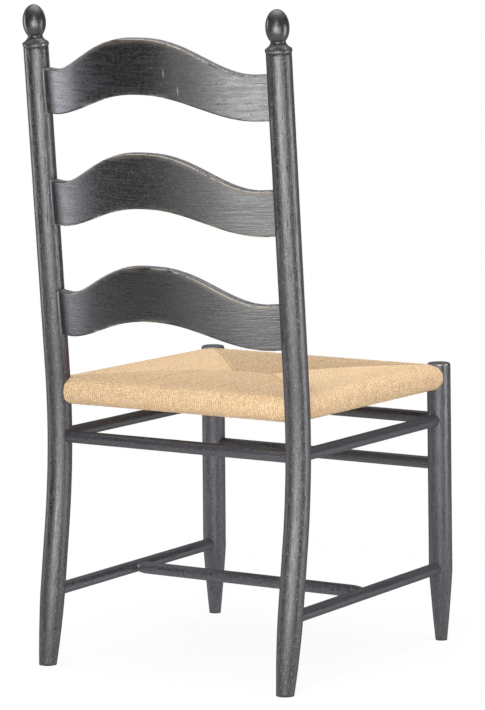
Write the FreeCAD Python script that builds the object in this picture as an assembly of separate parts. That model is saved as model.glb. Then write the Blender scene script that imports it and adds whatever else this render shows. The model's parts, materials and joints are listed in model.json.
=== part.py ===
import FreeCAD, Part
import math
import os

os.makedirs("parts", exist_ok=True)
Vector = FreeCAD.Vector

# Ladder-back side chair with a woven rush seat, in millimetres.
# X runs across the chair, the front faces -Y, the floor is Z = 0.
# All pieces are first placed with Y = 0 at the knee of the rear posts.

# Chair frame: the seat's height is that of its front and rear rails
chair_height = 1080.0
seat_rail_height = 450.0
post_spacing = 454.5
front_foot_spacing = 452.8
leg_spacing_deep = 469.0

# Clearances
fit_gap = 0.1
soft_gap = 0.3
overrun = 60.0

# Rear posts: straight below and above a gentle bend
post_radius = 20.3
knee_below_seat = 90.3
knee_bend_radius = 1100.0
foot_kick_deg = 7.3
back_lean_deg = 5.95
post_foot_radius = 14.5
post_foot_bulge = 0.9
post_foot_length = 118.0

# Turned finial at the head of each rear post
egg_half_length = 28.0
egg_radius = 18.8
neck_below_egg = 21.5
cove_height = 11.0
cove_hollow = 2.4
bead_height = 6.6
bead_root_radius = 20.0
bead_radius = 21.5
quirk_height = 1.6
quirk_radius = 19.5

# Front legs
leg_radius = 19.9
leg_top_above_rail = 26.0
leg_rake_deg = 1.33
leg_lean_in_deg = 0.35
leg_foot_radius = 9.9
leg_foot_bulge = 0.5
leg_foot_length = 120.0
leg_crown_height = 1.4
leg_crown_edge_radius = 3.6

# Back slats: bowed rearward, arched in elevation, tilted with the back
slat_thickness = 16.0
slat_edge_radius = 3.0
slat_end_height = 72.4
slat_top_rise = 60.0
slat_bottom_rise = 43.5
slat_bow = 60.0
slat_end_offset = -11.0
slat_tilt_deg = 7.0
slat_tenon_depth = 12.5
lowest_slat_above_rail = 131.8
top_slat_below_head = 137.0
top_reach_share = 0.83
top_ease_share = 1.26
bottom_reach_share = 0.866
bottom_ease_share = 1.11
outline_steps = 16

# Rungs: round bars with a smaller round tenon at each end
rung_radius = 10.25
rung_tenon_radius = 7.0
tenon_web = 1.5
rear_rung_below_rail = 75.0
upper_side_rung_below_rail_rear = 73.5
upper_side_rung_below_rail_front = 71.8
front_upper_rung_below_rail = 70.0
front_lower_rung_height = 303.0
lower_side_rung_height_rear = 120.3
lower_side_rung_height_front = 125.5

# Cross stretcher between the two lower side rungs
stretcher_place_share = 0.49
stretcher_tenon_radius = 5.5
stretcher_tenon_depth = 7.0
stretcher_nose_radius = 8.2
stretcher_nose_length = 14.0

# Seat rails hidden in the rush
rail_half_width = 12.5
rail_half_height = 16.5
rail_corner_radius = 11.0
rail_tenon_radius = 6.4
rail_tenon_offset = 8.0
side_rail_setback = 1.7
end_rail_setback = 4.5
side_rail_raise = 1.0

# Rush seat: rolled edges, four crowned quadrants, mitred seams
rush_thickness = 4.2
seat_ridge_half = 36.0
seat_centre_rise = 19.0
seat_crown_rise = 25.0
seat_crown_share = 0.5
seat_under_centre_drop = 15.0

# Stuffing between the upper and lower rush
pad_gap = 0.5

# Heights that follow the seat and the head of the chair
side_rail_height = seat_rail_height + side_rail_raise
knee_height = seat_rail_height - knee_below_seat
leg_height = seat_rail_height + leg_top_above_rail
lowest_slat_height = seat_rail_height + lowest_slat_above_rail
top_slat_height = chair_height - top_slat_below_head


def tube_face(radius, centre, direction):
    circle = Part.Circle(centre, direction, radius)
    return Part.Face(Part.Wire(circle.toShape()))


def bar(start, end, radius):
    run = end - start
    return Part.makeCylinder(radius, run.Length, start, run)


def turned(edges, bottom, top):
    # the profile lies in the local XZ plane and closes along the axis
    axis_edge = Part.makeLine(Vector(0, 0, top), Vector(0, 0, bottom))
    face = Part.Face(Part.Wire(edges + [axis_edge]))
    return face.revolve(Vector(0, 0, 0), Vector(0, 0, 1), 360)


def line(a, b):
    return Part.makeLine(Vector(a[0], 0, a[1]), Vector(b[0], 0, b[1]))


def arc(a, middle, b):
    points = [Vector(p[0], 0, p[1]) for p in (a, middle, b)]
    return Part.Arc(points[0], points[1], points[2]).toShape()


def bulged(a, b, bulge):
    # an arc from a to b whose middle stands off the chord by the bulge
    dx = b[0] - a[0]
    dz = b[1] - a[1]
    length = math.hypot(dx, dz)
    mx = (a[0] + b[0]) / 2 + bulge * dz / length
    mz = (a[1] + b[1]) / 2 - bulge * dx / length
    return arc(a, (mx, mz), b)


# Axis of the rear posts, in the YZ plane
foot_kick = math.radians(foot_kick_deg)
back_lean = math.radians(back_lean_deg)
knee_tangent = knee_bend_radius * math.tan((foot_kick + back_lean) / 2)
knee_low_y = knee_tangent * math.sin(foot_kick)
knee_low_z = knee_height - knee_tangent * math.cos(foot_kick)
knee_high_y = knee_tangent * math.sin(back_lean)
knee_high_z = knee_height + knee_tangent * math.cos(back_lean)
bend_centre_y = knee_low_y + knee_bend_radius * math.cos(foot_kick)
bend_centre_z = knee_low_z + knee_bend_radius * math.sin(foot_kick)


def post_axis_y(z):
    if z < knee_low_z:
        return (knee_height - z) * math.tan(foot_kick)
    if z > knee_high_z:
        return (z - knee_height) * math.tan(back_lean)
    rise = z - bend_centre_z
    return bend_centre_y - math.sqrt(knee_bend_radius**2 - rise**2)


# Axis of the front legs
leg_rake = math.radians(leg_rake_deg)
leg_lean_in = math.radians(leg_lean_in_deg)
half_across = post_spacing / 2
front_axis_y_at_seat = post_axis_y(seat_rail_height) - leg_spacing_deep


def leg_axis_y(z):
    return front_axis_y_at_seat + (z - seat_rail_height) * math.tan(leg_rake)


def post_point(side, z):
    return Vector(side * half_across, post_axis_y(z), z)


def leg_point(side, z):
    x = front_foot_spacing / 2 - z * math.tan(leg_lean_in)
    return Vector(side * x, leg_axis_y(z), z)


floor_cutter = Part.makeBox(
    2 * chair_height, 2 * chair_height, 2 * overrun,
    Vector(-chair_height, -chair_height, -2 * overrun))


def off_the_floor(shape):
    return shape.cut(floor_cutter)


# Rear posts
def rear_post(side, grow):
    radius = post_radius + grow
    foot_radius = post_foot_radius + grow
    lower_length = knee_low_z / math.cos(foot_kick)
    lower = turned(
        [line((0, -overrun), (foot_radius, -overrun)),
         line((foot_radius, -overrun), (foot_radius, 0)),
         bulged((foot_radius, 0), (radius, post_foot_length), post_foot_bulge),
         line((radius, post_foot_length), (radius, lower_length)),
         line((radius, lower_length), (0, lower_length))],
        -overrun, lower_length)
    lower.rotate(Vector(0, 0, 0), Vector(1, 0, 0), foot_kick_deg)
    lower.translate(post_point(side, 0))

    start = post_point(side, knee_low_z)
    heading = Vector(0, -math.sin(foot_kick), math.cos(foot_kick))
    bend_centre = Vector(side * half_across, bend_centre_y, bend_centre_z)
    turn = foot_kick_deg + back_lean_deg
    bend = tube_face(radius, start, heading)
    bend = bend.revolve(bend_centre, Vector(-1, 0, 0), turn)

    upper_length = (chair_height - knee_high_z) / math.cos(back_lean)
    upper = turned(head_profile(radius, upper_length, grow), 0, upper_length)
    upper.rotate(Vector(0, 0, 0), Vector(1, 0, 0), -back_lean_deg)
    upper.translate(post_point(side, knee_high_z))
    post = lower.fuse([bend, upper]).removeSplitter()
    return off_the_floor(post)


def head_profile(radius, length, grow):
    egg_centre = length - egg_half_length
    neck = egg_centre - neck_below_egg
    bead_top = neck - cove_height
    bead_bottom = bead_top - bead_height
    quirk_bottom = bead_bottom - quirk_height
    drop = math.acos(-neck_below_egg / egg_half_length)
    neck_radius = egg_radius * math.sin(drop)
    egg = Part.Ellipse(
        Vector(0, 0, length), Vector(egg_radius, 0, egg_centre), Vector(0, 0, egg_centre))
    egg_edge = Part.ArcOfEllipse(egg, 0, drop).toShape()
    bead_middle = (bead_radius, (bead_top + bead_bottom) / 2)
    return [
        line((0, 0), (radius, 0)),
        line((radius, 0), (radius, quirk_bottom)),
        line((radius, quirk_bottom), (quirk_radius, bead_bottom)),
        line((quirk_radius, bead_bottom), (bead_root_radius, bead_bottom)),
        arc((bead_root_radius, bead_bottom), bead_middle, (bead_root_radius, bead_top)),
        bulged((bead_root_radius, bead_top), (neck_radius, neck), -cove_hollow),
        egg_edge]


# Front legs
def front_leg(side, grow):
    radius = leg_radius + grow
    foot_radius = leg_foot_radius + grow
    length = leg_height / math.cos(leg_rake)
    edge_top = length - leg_crown_height
    edge_low = edge_top - leg_crown_edge_radius
    crown_radius = radius - leg_crown_edge_radius
    diagonal = leg_crown_edge_radius * math.sqrt(0.5)
    edge_middle = (crown_radius + diagonal, edge_low + diagonal)
    leg = turned(
        [line((0, -overrun), (foot_radius, -overrun)),
         line((foot_radius, -overrun), (foot_radius, 0)),
         bulged((foot_radius, 0), (radius, leg_foot_length), leg_foot_bulge),
         line((radius, leg_foot_length), (radius, edge_low)),
         arc((radius, edge_low), edge_middle, (crown_radius, edge_top)),
         line((crown_radius, edge_top), (0, length))],
        -overrun, length)
    leg.rotate(Vector(0, 0, 0), Vector(1, 0, 0), -leg_rake_deg)
    leg.rotate(Vector(0, 0, 0), Vector(0, 1, 0), -side * leg_lean_in_deg)
    leg.translate(leg_point(side, 0))
    return off_the_floor(leg)


# Back slats
half_height = slat_end_height / 2
slat_radius = (half_across**2 + slat_bow**2) / (2 * slat_bow)
slat_reach = half_across - post_radius + slat_tenon_depth


def outline_drop(share, reach_share, ease_share):
    eased = min(abs(share) / reach_share, 1.0) ** ease_share
    return math.sin(math.pi / 2 * eased) ** 2


def arched_edge(end_height, rise, reach_share, ease_share, half_length):
    points = []
    for step in range(-outline_steps, outline_steps + 1):
        share = step / outline_steps
        drop = outline_drop(share * half_length / half_across, reach_share, ease_share)
        points.append(Vector(share * half_length, 0, end_height + rise * (1 - drop)))
    curve = Part.BSplineCurve()
    curve.interpolate(points)
    return curve.toShape()


def slat(height, grow):
    half_length = slat_reach + grow
    low = arched_edge(-half_height - grow, slat_bottom_rise,
                      bottom_reach_share, bottom_ease_share, half_length)
    high = arched_edge(half_height + grow, slat_top_rise,
                       top_reach_share, top_ease_share, half_length)
    right = Part.makeLine(low.Vertexes[-1].Point, high.Vertexes[-1].Point)
    left = Part.makeLine(high.Vertexes[0].Point, low.Vertexes[0].Point)
    panel = Part.Face(Part.Wire([low, right, high, left]))
    panel.translate(Vector(0, slat_end_offset - overrun, 0))
    panel = panel.extrude(Vector(0, slat_bow + 2 * overrun, 0))

    centre = Vector(0, slat_end_offset + slat_bow - slat_radius, -slat_end_height)
    tall = slat_end_height + slat_end_height + slat_top_rise
    outer = Part.makeCylinder(slat_radius + slat_thickness / 2 + grow, tall, centre)
    inner = Part.makeCylinder(slat_radius - slat_thickness / 2 - grow, tall, centre)
    board = panel.common(outer.cut(inner))
    if grow == 0:
        long_edges = [e for e in board.Edges if e.Length > half_across]
        board = board.makeFillet(slat_edge_radius, long_edges)
    board.rotate(Vector(0, 0, 0), Vector(1, 0, 0), -slat_tilt_deg)
    board.translate(Vector(0, post_axis_y(height), height))
    return board


slat_words = ("bottom", "middle", "top")
slat_pitch = (top_slat_height - lowest_slat_height) / (len(slat_words) - 1)
slat_heights = {}
for step, word in enumerate(slat_words):
    slat_heights["back_slat_" + word] = lowest_slat_height + step * slat_pitch

# Uprights, and copies grown by the fit that scribe what meets them
uprights = {}
scribes = {}
for side, word in ((1, "left"), (-1, "right")):
    uprights["rear_post_" + word] = rear_post(side, 0)
    uprights["front_leg_" + word] = front_leg(side, 0)
    scribes["rear_post_" + word] = rear_post(side, fit_gap)
    scribes["front_leg_" + word] = front_leg(side, fit_gap)


# Bars that join two uprights
def joined_bar(body, start, end, tenon_radius, hosts):
    # start and end are the ends of the tenons
    along = (end - start).normalize()
    for host in hosts:
        body = body.cut(scribes[host])
    body = max(body.Solids, key=lambda solid: solid.Volume)
    body = body.fuse(bar(start, end, tenon_radius)).removeSplitter()
    socket = bar(start - along * fit_gap, end + along * fit_gap, tenon_radius + fit_gap)
    for host in hosts:
        uprights[host] = uprights[host].cut(socket)
    return body


def rung(start, end, hosts):
    # the tenons stop short of the uprights' axes, clear of those that cross them
    along = (end - start).normalize()
    stop = rung_tenon_radius + tenon_web
    body = bar(start, end, rung_radius)
    return joined_bar(body, start + along * stop, end - along * stop,
                      rung_tenon_radius, hosts)


rear_rung_height = seat_rail_height - rear_rung_below_rail
front_upper_rung_height = seat_rail_height - front_upper_rung_below_rail
upper_side_rung_rear = seat_rail_height - upper_side_rung_below_rail_rear
upper_side_rung_front = seat_rail_height - upper_side_rung_below_rail_front
rungs = {}
rungs["rear_rung"] = rung(
    post_point(1, rear_rung_height), post_point(-1, rear_rung_height),
    ("rear_post_left", "rear_post_right"))
rungs["front_rung_upper"] = rung(
    leg_point(1, front_upper_rung_height), leg_point(-1, front_upper_rung_height),
    ("front_leg_left", "front_leg_right"))
rungs["front_rung_lower"] = rung(
    leg_point(1, front_lower_rung_height), leg_point(-1, front_lower_rung_height),
    ("front_leg_left", "front_leg_right"))
lower_lines = {}
for side, word in ((1, "left"), (-1, "right")):
    hosts = ("rear_post_" + word, "front_leg_" + word)
    rungs["side_rung_upper_" + word] = rung(
        post_point(side, upper_side_rung_rear),
        leg_point(side, upper_side_rung_front), hosts)
    lower_start = post_point(side, lower_side_rung_height_rear)
    lower_end = leg_point(side, lower_side_rung_height_front)
    lower_lines[word] = (lower_start, lower_end)
    rungs["side_rung_lower_" + word] = rung(lower_start, lower_end, hosts)


# Cross stretcher
def point_on_lower(word):
    start, end = lower_lines[word]
    return start + (end - start) * stretcher_place_share


def cross_stretcher():
    start = point_on_lower("left")
    end = point_on_lower("right")
    along = (end - start).normalize()
    half = (end - start).Length / 2
    full = half - rung_radius - stretcher_nose_length
    shoulder = half - rung_radius / 2
    half_profile = [
        line((0, -shoulder), (stretcher_nose_radius, -shoulder)),
        line((stretcher_nose_radius, -shoulder), (stretcher_nose_radius, -half + rung_radius)),
        line((stretcher_nose_radius, -half + rung_radius), (rung_radius, -full)),
        line((rung_radius, -full), (rung_radius, full)),
        line((rung_radius, full), (stretcher_nose_radius, half - rung_radius)),
        line((stretcher_nose_radius, half - rung_radius), (stretcher_nose_radius, shoulder)),
        line((stretcher_nose_radius, shoulder), (0, shoulder))]
    body = turned(half_profile, -shoulder, shoulder)
    body.rotate(Vector(0, 0, 0), Vector(0, 1, 0), -90)
    body.translate((start + end) * 0.5)
    for word in ("left", "right"):
        lower_start, lower_end = lower_lines[word]
        body = body.cut(bar(lower_start, lower_end, rung_radius + fit_gap))
    body = max(body.Solids, key=lambda solid: solid.Volume)
    inset = rung_radius - stretcher_tenon_depth
    tenon_start = start + along * inset
    tenon_end = end - along * inset
    body = body.fuse(bar(tenon_start, tenon_end, stretcher_tenon_radius)).removeSplitter()
    socket = bar(tenon_start - along * fit_gap, tenon_end + along * fit_gap,
                 stretcher_tenon_radius + fit_gap)
    for word in ("left", "right"):
        name = "side_rung_lower_" + word
        rungs[name] = rungs[name].cut(socket)
    return body


rungs["cross_stretcher"] = cross_stretcher()

# Mortises for the slats
slats = {}
for name, height in slat_heights.items():
    slats[name] = slat(height, 0)
    mortise = slat(height, fit_gap)
    for word in ("left", "right"):
        host = "rear_post_" + word
        uprights[host] = uprights[host].cut(mortise)


# Seat rails
def rounded_section(half_width, half_tall, corner, origin, across):
    # a rounded rectangle about the origin; across is the horizontal direction
    flat = half_width - corner
    tall = half_tall - corner
    reach = corner * math.sqrt(0.5)
    up = Vector(0, 0, 1)
    spots = []
    for sx, sz in ((1, 1), (-1, 1), (-1, -1), (1, -1)):
        centre = origin + across * (sx * flat) + up * (sz * tall)
        on_side = centre + across * (sx * corner)
        on_edge = centre + up * (sz * corner)
        diagonal = centre + across * (sx * reach) + up * (sz * reach)
        order = (on_side, diagonal, on_edge) if sx == sz else (on_edge, diagonal, on_side)
        spots.append(order)
    edges = []
    for index, order in enumerate(spots):
        edges.append(Part.Arc(order[0], order[1], order[2]).toShape())
        following = spots[(index + 1) % len(spots)]
        edges.append(Part.makeLine(order[2], following[0]))
    return Part.Face(Part.Wire(edges))


rail_side_x = min(half_across, leg_point(1, side_rail_height).x) - side_rail_setback
rail_rear_y = post_axis_y(seat_rail_height) - end_rail_setback
rail_front_y = leg_axis_y(seat_rail_height) + end_rail_setback
roll_half_width = rail_half_width + soft_gap + rush_thickness
roll_half_height = rail_half_height + soft_gap + rush_thickness
roll_corner = rail_corner_radius + soft_gap + rush_thickness
seat_side_x = rail_side_x + roll_half_width
seat_rear_y = rail_rear_y + roll_half_width
seat_front_y = rail_front_y - roll_half_width
seat_middle_y = (seat_rear_y + seat_front_y) / 2


def side_corners(side):
    return [(side * seat_side_x, seat_rear_y), (side * seat_side_x, seat_front_y),
            (side * seat_ridge_half, seat_middle_y)]


def end_corners(y):
    return [(-seat_side_x, y), (seat_side_x, y),
            (seat_ridge_half, seat_middle_y), (-seat_ridge_half, seat_middle_y)]


def plan_prism(corners, shrink):
    points = [Vector(x, y, 0) for x, y in corners]
    wire = Part.makePolygon(points + [points[0]])
    if shrink > 0:
        wire = wire.makeOffset2D(-shrink)
    return Part.Face(wire).extrude(Vector(0, 0, leg_height))


def seat_rail(start, end, across, corners, tenon_lift, hosts):
    # mitred inside the corners; side tenons pass over those of the front and rear rails
    lift = Vector(0, 0, tenon_lift)
    section = rounded_section(
        rail_half_width, rail_half_height, rail_corner_radius, start, across)
    body = section.extrude(end - start).common(plan_prism(corners, fit_gap / 2))
    return joined_bar(body, start + lift, end + lift, rail_tenon_radius, hosts)


rails = {}
across_x = Vector(1, 0, 0)
across_y = Vector(0, 1, 0)
front_rail_end_x = leg_point(1, seat_rail_height).x
rails["seat_rail_rear"] = seat_rail(
    Vector(half_across, rail_rear_y, seat_rail_height),
    Vector(-half_across, rail_rear_y, seat_rail_height),
    across_y, end_corners(seat_rear_y), -rail_tenon_offset,
    ("rear_post_left", "rear_post_right"))
rails["seat_rail_front"] = seat_rail(
    Vector(front_rail_end_x, rail_front_y, seat_rail_height),
    Vector(-front_rail_end_x, rail_front_y, seat_rail_height),
    across_y, end_corners(seat_front_y), -rail_tenon_offset,
    ("front_leg_left", "front_leg_right"))
for side, word in ((1, "left"), (-1, "right")):
    rails["seat_rail_" + word] = seat_rail(
        Vector(side * rail_side_x, post_axis_y(side_rail_height), side_rail_height),
        Vector(side * rail_side_x, leg_axis_y(side_rail_height), side_rail_height),
        across_x, side_corners(side), rail_tenon_offset,
        ("rear_post_" + word, "front_leg_" + word))


# Rush seat
def strand_profile(origin, inward, run, rail_height, inset):
    # section of one quadrant along its strands, from the rolled edge to the ridge
    def at(distance, z):
        return origin + inward * distance + Vector(0, 0, z)

    corner = roll_corner - inset
    high = rail_height + roll_half_height - inset
    low = rail_height - roll_half_height + inset
    bend = corner * (1 - math.sqrt(0.5))
    crown = run * seat_crown_share
    edges = [
        Part.Arc(at(inset + corner, low), at(inset + bend, low + bend),
                 at(inset, low + corner)).toShape(),
        Part.makeLine(at(inset, low + corner), at(inset, high - corner)),
        Part.Arc(at(inset, high - corner), at(inset + bend, high - bend),
                 at(inset + corner, high)).toShape(),
        Part.Arc(at(inset + corner, high), at(crown, seat_crown_height - inset),
                 at(run, seat_centre_height - inset)).toShape(),
        Part.makeLine(at(run, seat_centre_height - inset),
                      at(run, seat_under_height + inset)),
        Part.makeLine(at(run, seat_under_height + inset), at(inset + corner, low))]
    return Part.Face(Part.Wire(edges))


seat_centre_height = seat_rail_height + seat_centre_rise
seat_crown_height = seat_rail_height + seat_crown_rise
seat_under_height = seat_rail_height - seat_under_centre_drop
side_run = seat_side_x - seat_ridge_half
end_run = seat_rear_y - seat_middle_y
seat_length = seat_rear_y - seat_front_y
seat_width = 2 * seat_side_x


def quadrants(inset, shrink):
    made = []
    for side in (1, -1):
        origin = Vector(side * seat_side_x, seat_front_y, 0)
        face = strand_profile(origin, Vector(-side, 0, 0), side_run, side_rail_height, inset)
        solid = face.extrude(Vector(0, seat_length, 0))
        made.append(solid.common(plan_prism(side_corners(side), shrink)))
    for end, y in ((1, seat_rear_y), (-1, seat_front_y)):
        origin = Vector(-seat_side_x, y, 0)
        face = strand_profile(origin, Vector(0, -end, 0), end_run, seat_rail_height, inset)
        solid = face.extrude(Vector(seat_width, 0, 0))
        made.append(solid.common(plan_prism(end_corners(y), shrink)))
    return made


def fused(shapes):
    return shapes[0].fuse(shapes[1:]).removeSplitter()


def rush_seat():
    seat = fused(quadrants(0, 0)).cut(fused(quadrants(rush_thickness, 0)))
    for side in (1, -1):
        seat = seat.cut(rear_post(side, soft_gap))
        seat = seat.cut(front_leg(side, soft_gap))
    return max(seat.Solids, key=lambda solid: solid.Volume)


def seat_stuffing():
    # one folded pad in each quadrant, between the rails
    inner_x = rail_side_x - rail_half_width - pad_gap
    rear_y = rail_rear_y - rail_half_width - pad_gap
    front_y = rail_front_y + rail_half_width + pad_gap
    window = Part.makeBox(
        2 * inner_x, rear_y - front_y, leg_height, Vector(-inner_x, front_y, 0))
    pads = []
    for pad in quadrants(rush_thickness + pad_gap, pad_gap):
        pad = pad.common(window)
        for side in (1, -1):
            pad = pad.cut(rear_post(side, pad_gap))
            pad = pad.cut(front_leg(side, pad_gap))
        pads.append(pad)
    return Part.makeCompound(pads)


nodes = {}
nodes.update(uprights)
nodes.update(slats)
nodes.update(rungs)
nodes.update(rails)
nodes["rush_seat"] = rush_seat()
nodes["seat_stuffing"] = seat_stuffing()

# The finished chair stands with the centre of its footprint at the origin
whole = Part.makeCompound(list(nodes.values())).optimalBoundingBox(False)
centring = Vector(-(whole.XMin + whole.XMax) / 2, -(whole.YMin + whole.YMax) / 2, -whole.ZMin)
print("centring", centring, "size", whole.XLength, whole.YLength, whole.ZLength)
for name, shape in nodes.items():
    shape.translate(centring)
    print(name, len(shape.Solids), shape.isValid(), round(shape.Volume))
    shape.exportStep("parts/" + name + ".step")
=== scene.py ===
import json
import bpy
import numpy as np
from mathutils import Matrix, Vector

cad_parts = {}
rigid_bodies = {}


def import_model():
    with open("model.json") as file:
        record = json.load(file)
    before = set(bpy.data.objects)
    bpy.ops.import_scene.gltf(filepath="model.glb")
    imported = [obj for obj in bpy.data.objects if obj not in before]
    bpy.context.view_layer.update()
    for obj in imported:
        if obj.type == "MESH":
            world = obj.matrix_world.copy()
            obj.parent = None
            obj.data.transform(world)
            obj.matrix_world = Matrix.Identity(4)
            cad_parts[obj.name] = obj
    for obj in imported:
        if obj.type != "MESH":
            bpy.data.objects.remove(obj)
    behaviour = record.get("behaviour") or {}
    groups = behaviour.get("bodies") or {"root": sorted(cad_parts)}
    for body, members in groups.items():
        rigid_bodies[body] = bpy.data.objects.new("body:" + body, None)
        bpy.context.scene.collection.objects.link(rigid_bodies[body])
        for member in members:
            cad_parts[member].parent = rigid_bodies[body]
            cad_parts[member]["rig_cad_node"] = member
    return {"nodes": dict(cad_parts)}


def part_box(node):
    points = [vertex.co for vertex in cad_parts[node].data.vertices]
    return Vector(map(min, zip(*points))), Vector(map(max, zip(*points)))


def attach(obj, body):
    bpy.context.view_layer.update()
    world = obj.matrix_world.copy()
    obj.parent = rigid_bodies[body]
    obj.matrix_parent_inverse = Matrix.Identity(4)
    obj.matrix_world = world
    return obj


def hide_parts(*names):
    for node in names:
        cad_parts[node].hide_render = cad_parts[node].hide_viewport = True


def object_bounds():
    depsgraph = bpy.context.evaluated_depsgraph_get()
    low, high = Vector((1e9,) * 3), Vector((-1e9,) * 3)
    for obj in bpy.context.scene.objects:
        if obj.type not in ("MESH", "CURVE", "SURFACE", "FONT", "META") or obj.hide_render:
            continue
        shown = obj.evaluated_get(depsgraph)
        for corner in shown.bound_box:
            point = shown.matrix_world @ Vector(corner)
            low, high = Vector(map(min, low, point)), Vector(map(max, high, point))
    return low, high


# Ladder-back side chair with a woven rush seat. Metres; X across, the front faces -Y, floor at Z = 0.
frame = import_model()
cadLow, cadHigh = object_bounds()
radians = np.radians
quarterTurn = np.pi / 2
seatHeight = 0.450
farFromEdge = 0.02  # distance to an arris past which no paint is worn
grainShift = np.array([1.7, 0.31, 0.53])  # times a piece's seed, so that no two pieces share their grain

# one seed for each kind of piece; the side or the place in a row is added to it
seeds = {
    "post": 3,
    "leg": 11,
    "rearRung": 21,
    "frontRungs": 22,
    "upperSideRung": 26,
    "lowerSideRung": 30,
    "stretcher": 35,
    "slats": 41,
    "rush": 51}


def gridPiece(name, points, fields):
    # closed rings, rings x around x 3: quads join neighbours both ways, and a fan to its mean point
    # closes the first ring and the last
    rings, around, _ = points.shape
    i, j = np.meshgrid(np.arange(rings - 1), np.arange(around), indexing="ij")
    k = (j + 1) % around
    quads = np.stack([i * around + j, i * around + k, (i + 1) * around + k, (i + 1) * around + j], -1)
    here = np.arange(around)
    beyond = (here + 1) % around
    lastRing = (rings - 1) * around
    firstPole = rings * around
    firstFan = np.stack([beyond, here, np.full(around, firstPole)], 1)
    lastFan = np.stack([np.full(around, firstPole + 1), lastRing + here, lastRing + beyond], 1)
    vertices = np.concatenate([points.reshape(-1, 3), points[[0, -1]].mean(1)])
    faces = quads.reshape(-1, 4).tolist() + firstFan.tolist() + lastFan.tolist()
    mesh = bpy.data.meshes.new(name)
    mesh.from_pydata(vertices.tolist(), [], faces)
    mesh.polygons.foreach_set("use_smooth", np.ones(len(mesh.polygons), bool))
    for field, values in fields.items():
        grid = values.reshape(rings, around, -1)
        width = grid.shape[2]
        flat = np.concatenate([grid.reshape(-1, width), grid[[0, -1]].mean(1)])
        kind, entry = ("FLOAT_VECTOR", "vector") if width == 3 else ("FLOAT", "value")
        attribute = mesh.attributes.new(field, kind, "POINT")
        attribute.data.foreach_set(entry, flat.astype(np.float32).ravel())
    mesh.update()
    piece = bpy.data.objects.new(name, mesh)
    bpy.context.scene.collection.objects.link(piece)
    return piece


# Turned pieces
turned = {
    "sides": 64,
    "alongX": 0.9,
    "uneven": 0.00009,
    "unevenFrom": 0.004,
    "floorFade": 0.03,
    "footRim": 0.0005,
    "tip": 0.0002}

# the slight waves that hand tools leave, in radians per metre
toolMarks = {
    "waves": (23.0, 41.0, 77.0, 131.0),
    "turnsBelow": 4}


def unevenness(s, angle, seed, size):
    # the mean of a few sines: long waves along s that also wind round with the angle
    shares = np.random.default_rng(seed)
    total = np.zeros(np.broadcast(s, angle).shape)
    for wave in toolMarks["waves"]:
        turns = shares.integers(0, toolMarks["turnsBelow"])
        phase, _ = shares.uniform(0, 2 * np.pi, 2)
        total = total + np.sin(wave * s + phase + turns * angle) / len(toolMarks["waves"])
    return size * total


def overRings(values, around):
    # one value for each ring, repeated round it
    return np.repeat(values[:, None], around, 1)


def roundPiece(name, axis, radii, seed, sides=turned["sides"], onFloor=False, edge=None, polish=None):
    # circles carried along an axis in one plane: centre + radius * (across * cos angle + normal * sin angle)
    centres, headings, lengths = axis
    angle = np.linspace(0, 2 * np.pi, sides, endpoint=False)[None, :]
    runsAlongX = abs(headings[0][0]) > turned["alongX"]
    helper = np.array([0.0, 0.0, 1.0]) if runsAlongX else np.array([1.0, 0.0, 0.0])
    across = helper - (headings @ helper)[:, None] * headings
    across /= np.linalg.norm(across, axis=1)[:, None]
    normal = np.cross(headings, across)
    wobble = unevenness(lengths[:, None], angle, seed, turned["uneven"])
    reach = radii[:, None] + wobble * (radii[:, None] > turned["unevenFrom"])
    spokes = across[:, None, :] * np.cos(angle)[..., None] + normal[:, None, :] * np.sin(angle)[..., None]
    points = centres[:, None, :] + reach[..., None] * spokes
    if onFloor:
        # the foot's rings slide along the axis, the first until it lies on the floor
        fade = np.clip(1 - lengths / turned["floorFade"], 0, 1)[:, None]
        slide = -fade * points[0, :, 2] / headings[0][2]
        points = points + slide[..., None] * headings[:, None, :]
    grain = np.stack([overRings(lengths, sides), reach * np.cos(angle), reach * np.sin(angle)], -1)
    edge = np.full(len(lengths), farFromEdge) if edge is None else edge
    polish = np.zeros(len(lengths)) if polish is None else polish
    return gridPiece(name, points, {
        "grain": grain + seed * grainShift,
        "edge": overRings(edge, sides),
        "polish": overRings(polish, sides),
        "rim": mortiseRim(points)})


def shaftStations(shape, end):
    # even steps along the tapered foot, then even steps to the shaft's end
    foot = np.linspace(0, shape["footLength"], shape["footRings"])
    upper = np.linspace(shape["footLength"], end, shape["shaftRings"])
    return np.concatenate([foot, upper[1:]])


def taperedFoot(s, shape):
    # the foot's radius grows evenly to the shaft's, plus a parabola that is footBulge high midway
    t = np.clip(s / shape["footLength"], 0, 1)
    taper = shape["footRadius"] + (shape["radius"] - shape["footRadius"]) * t
    return taper + 4 * shape["footBulge"] * t * (1 - t)


def arrisDistance(s, arris):
    # distance along the axis to an arris or to the foot's rim, whichever is nearer
    return np.minimum(np.minimum(np.abs(s - arris), np.maximum(s, turned["footRim"])), farFromEdge)


# Rear posts: straight foot, gentle knee, leaning back, turned head
post = {
    "radius": 0.0203,
    "kneeBelowSeat": 0.0903,
    "kneeRadius": 1.1,
    "footKick": radians(7.3),
    "backLean": radians(5.95),
    "footRadius": 0.0145,
    "footBulge": 0.0009,
    "footLength": 0.118,
    "eggHalf": 0.028,
    "eggRadius": 0.0188,
    "neckBelowEgg": 0.0215,
    "coveHeight": 0.011,
    "coveHollow": 0.0024,
    "beadHeight": 0.0066,
    "beadRoot": 0.020,
    "beadRadius": 0.0215,
    "quirkHeight": 0.0016,
    "quirkRadius": 0.0195,
    "polishFade": 0.01,
    "footRings": 30,
    "shaftRings": 260,
    "headRings": (7, 17, 16, 44),  # quirk, bead, cove, egg
    "pathPoints": 4000,
    "pathSpare": 1.05}

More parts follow.
